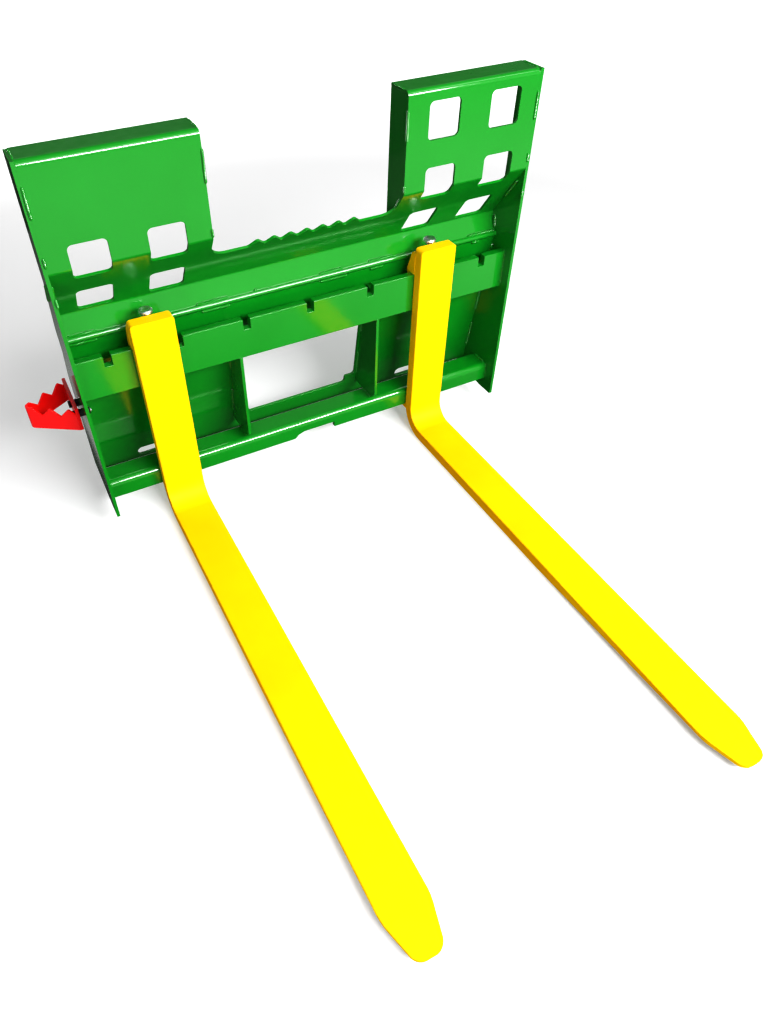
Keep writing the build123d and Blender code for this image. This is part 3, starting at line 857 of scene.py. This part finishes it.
def make_lock_pins():
    """Each lock pin turned in one profile: a chamfered foot, the neck, a cone, the rim and a domed top.

    The top is faced on a lathe. At a radius r it stands a dome of 0.5 mm times 1 - (r / 13.5)^2
    above the rim, less the tool's marks, which are 0.10 mm times 1 - cos(2 pi r / 1.5) deep.
    """
    face = np.linspace(PIN_FACE, PIN_FACE_MIDDLE, PIN_FACE_RINGS)
    marks = TOOL_MARK * (np.cos(2 * np.pi * face / TOOL_FEED) - 1)
    dome = PIN_HIGH[2] + PIN_DOME * (1 - (face / PIN_FACE) ** 2) + marks
    profile = [(radius, PIN_LOW[2] + height) for radius, height in PIN_FOOT]
    profile += [(radius, HEAD_FOOT + height) for radius, height in PIN_HEAD]
    profile += list(zip(face, dome))
    for side, x in FORK_PLACES.items():
        points = turned(profile, (x, PIN_Y, 0), sides=PIN_SIDES)
        turning = [closed_surface(points)]
        pin = make_piece(side + "_lock_pin_turned", turning, "zinc", side + "_pin_body", SMOOTH_PIN)
        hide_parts(side + "_lock_pin")


def moved_along(outline, start):
    """An outline of radius and place, with its places counted from a face."""
    return [(radius, start + place) for radius, place in outline]


def make_step_fasteners():
    """The step's bolts, washers and nuts, with turned corners, a thread and rounded washer rims."""
    heads, threads, washers, nuts = [], [], [], []
    plate = -INNER_HALF
    for y in (BOLT_FIRST, BOLT_FIRST + BOLT_SPACING):
        centre = (0, y, BOLT_Z)
        heads.append(hexagon_body(moved_along(BOLT_HEAD, BASE_OUTER), BOLT_FLATS, centre))
        shank_end = plate - SHANK_OVERLAP
        shank = ((BOLT_RADIUS, BASE_OUTER), (BOLT_RADIUS, shank_end))
        heads.append(closed_surface(turned(shank, centre, "x", SHANK_SIDES)))
        tip = plate + WASHER + NUT + BOLT_BEYOND
        threads.append(threaded_end(BOLT_RADIUS, THREAD_PITCH, shank_end, tip, centre))
        ring = turned(moved_along(WASHER_RIM, plate), centre, "x", WASHER_SIDES)
        washers.append(closed_surface(ring, along_closed=True, capped=False))
        nut = moved_along(NUT_OUTLINE, plate + WASHER)
        nuts.append(hexagon_body(nut, BOLT_FLATS, centre, along_closed=True, capped=False))
    bolts = make_piece("step_bolt_heads", heads, "black_steel", smooth_below=SMOOTH_HEXAGON)
    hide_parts("step_bolts")
    make_piece("step_bolt_threads", threads, "zinc", smooth_below=SMOOTH_THREAD)
    rings = make_piece("step_washer_rings", washers, "zinc", smooth_below=SMOOTH_THREAD)
    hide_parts("step_washers")
    hexagons = make_piece("step_nut_hexagons", nuts, "black_steel", smooth_below=SMOOTH_HEXAGON)
    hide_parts("step_nuts")


def ease_plate_edges():
    """Copies of the cut plates with their triangles joined and every cut edge eased by a small round."""
    for node, ease in EASED_NODES.items():
        form = bmesh.new()
        form.from_mesh(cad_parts[node].data)
        bmesh.ops.remove_doubles(form, verts=form.verts, dist=JOIN_DISTANCE)
        bmesh.ops.dissolve_limit(
            form, angle_limit=SAME_PLANE, verts=form.verts, edges=form.edges, delimit={"NORMAL"}
        )
        mesh = bpy.data.meshes.new(node + "_eased")
        form.to_mesh(mesh)
        form.free()
        mesh.shade_smooth()
        slot = slot_of[node]
        mesh.materials.append(finishes[slot])
        piece = put_in_scene(node + "_eased", mesh)
        edges = piece.modifiers.new("eased_edges", "BEVEL")
        edges.width = ease * MM
        edges.segments = EDGE_STEPS
        edges.limit_method = "ANGLE"
        edges.angle_limit = CUT_EDGE
        edges.harden_normals = True
        edges.miter_outer = "MITER_ARC"
        flats = piece.modifiers.new("true_flats", "WEIGHTED_NORMAL")
        flats.weight = FLAT_WEIGHT
        flats.keep_sharp = True
        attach(piece, FORK_BODIES.get(node, "frame"))
        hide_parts(node)


def set_the_stage(name, corners, faces, finish):
    """A surface round the part that isn't part of it, in metres."""
    mesh = bpy.data.meshes.new(name)
    mesh.from_pydata(corners, [], faces)
    mesh.shade_smooth()
    mesh.materials.append(finish.material)
    surface = put_in_scene(name, mesh)
    surface.visible_diffuse = False
    return surface


def build_floor():
    """A pale studio floor with a painted glow of its own, weaker beside the part and stronger away from it,
    so that far off it reads as a white backdrop.
    """
    pale = Finish("pale_floor")
    clouds = pale.ranged(pale.noise(FLOOR_CLOUDS, detail=3), 0, 1)
    pale.link(pale.blended(clouds, *FLOOR_TONES), pale.shader.inputs["Base Color"])
    reach = pale.tree.nodes.new("ShaderNodeVectorMath")
    reach.operation = "LENGTH"
    pale.link(pale.place, reach.inputs[0])
    # Painted glow: the floor gives off light of its own, weaker beside the part and stronger far off
    glow = pale.ranged(reach.outputs["Value"], *FLOOR_GLOW, *GLOW_REACH)
    pale.link(glow, pale.shader.inputs["Emission Strength"])
    pale.set(Roughness=0.9, Specular_IOR_Level=0.1, Emission_Color=WHITE)
    half = FLOOR_HALF
    corners = [(-half, -half, 0), (half, -half, 0), (half, half, 0), (-half, half, 0)]
    floor = set_the_stage("studio_floor", corners, [(0, 1, 2, 3)], pale)
    floor.visible_glossy = False


def lay_floor_shine():
    """A glowing sheet on the floor outside the left plate, met only by reflections, that paints a pale
    reflection into the plate's face and fades to the rear.
    """
    shine = Finish("floor_shine")
    along = shine.tree.nodes.new("ShaderNodeSeparateXYZ")
    shine.link(shine.place, along.inputs["Vector"])
    # Painted reflection: the sheet's glow, seen only in reflections, fades from front to rear
    fading = shine.ranged(along.outputs["Y"], *SHINE_GLOW, *SHINE_FADE)
    shine.link(fading, shine.shader.inputs["Emission Strength"])
    shine.set(Base_Color=BLACK, Specular_IOR_Level=0.0, Emission_Color=WHITE)
    left, right, front, back = SHINE_EDGES
    corners = [(x, y, SHINE_HEIGHT) for x, y in ((left, front), (right, front), (right, back), (left, back))]
    sheet = set_the_stage("floor_shine", corners, [(0, 1, 2, 3)], shine)
    sheet.visible_camera = False
    sheet.visible_shadow = False


def hang_backdrop():
    """A pale dome over the floor: x = r cos b cos a, y = r cos b sin a, z = r sin b."""
    white = Finish("white_backdrop")
    white.set(Base_Color=BACKDROP_TONE, Roughness=1.0, Specular_IOR_Level=0.0)
    white.set(Emission_Color=WHITE, Emission_Strength=1.0)
    rise = np.linspace(*BACKDROP_RISE, BACKDROP_RINGS)
    profile = BACKDROP_RADIUS * np.stack([np.cos(rise), np.sin(rise)], -1)
    corners, groups = closed_surface(turned(profile, (0, 0, 0), sides=BACKDROP_SIDES))
    faces = [face for group in groups for face in group.tolist()]
    backdrop = set_the_stage("studio_backdrop", corners.tolist(), faces, white)
    backdrop.visible_glossy = False
    backdrop.visible_shadow = False


def stand_soft_box(name, place, target, size, power):
    """A rectangular studio lamp, turned to a point."""
    lamp = bpy.data.lights.new(name, "AREA")
    lamp.shape = "RECTANGLE"
    lamp.size, lamp.size_y = size
    lamp.energy = power
    box = put_in_scene(name, lamp)
    box.location = place
    box.rotation_euler = (Vector(target) - Vector(place)).to_track_quat("-Z", "Y").to_euler()
    box.visible_camera = False


def shade_ramp(tree, value, stops):
    """Grey levels along a value that runs from -1 to 1."""
    spread = tree.nodes.new("ShaderNodeMapRange")
    spread.inputs["From Min"].default_value = -1
    tree.links.new(value, spread.inputs["Value"])
    shades = tree.nodes.new("ShaderNodeValToRGB")
    tree.links.new(spread.outputs["Result"], shades.inputs["Fac"])
    ramp = shades.color_ramp
    while len(ramp.elements) < len(stops):
        ramp.elements.new(0.5)
    for stop, (place, level) in zip(ramp.elements, stops):
        stop.position = (place + 1) / 2
        stop.color = (level, level, level, 1)
    return shades.outputs["Color"]


def fill_the_room():
    """The air's grey by direction, with one run of greys ahead of the part and another behind it."""
    world = bpy.data.worlds.new("studio_air")
    bpy.context.scene.world = world
    world.use_nodes = True
    tree = world.node_tree
    way = tree.nodes.new("ShaderNodeTexCoord")
    split = tree.nodes.new("ShaderNodeSeparateXYZ")
    tree.links.new(way.outputs["Generated"], split.inputs["Vector"])
    both = tree.nodes.new("ShaderNodeMix")
    both.data_type = "RGBA"
    tree.links.new(shade_ramp(tree, split.outputs["Y"], FRONT_INTO_BACK), both.inputs["Factor"])
    tree.links.new(shade_ramp(tree, split.outputs["Z"], ROOM_AHEAD), both.inputs[FIRST_COLOUR])
    tree.links.new(shade_ramp(tree, split.outputs["Z"], ROOM_BEHIND), both.inputs[SECOND_COLOUR])
    tree.links.new(both.outputs[MIXED_COLOUR], tree.nodes["Background"].inputs["Color"])


def deepen_shades():
    """A plain view of the scene's light, with its darker shades pulled down as a product photograph's are."""
    view = bpy.context.scene.view_settings
    view.view_transform = "Standard"
    view.look = "None"
    view.use_curve_mapping = True
    contrast = view.curve_mapping.curves[ALL_CHANNELS].points
    for dark, deeper in DEEPENED_SHADES:
        contrast.new(dark, deeper)
    view.curve_mapping.update()


aim_camera()
dress_cad_nodes()
ease_plate_edges()
lay_coupler_welds()
lay_guard_welds()
lay_carriage_welds()
lay_fork_welds()
lay_step_welds()
make_lock_pins()
make_step_fasteners()
build_floor()
lay_floor_shine()
hang_backdrop()
fill_the_room()
for soft_box in SOFT_BOXES:
    stand_soft_box(*soft_box)
deepen_shades()
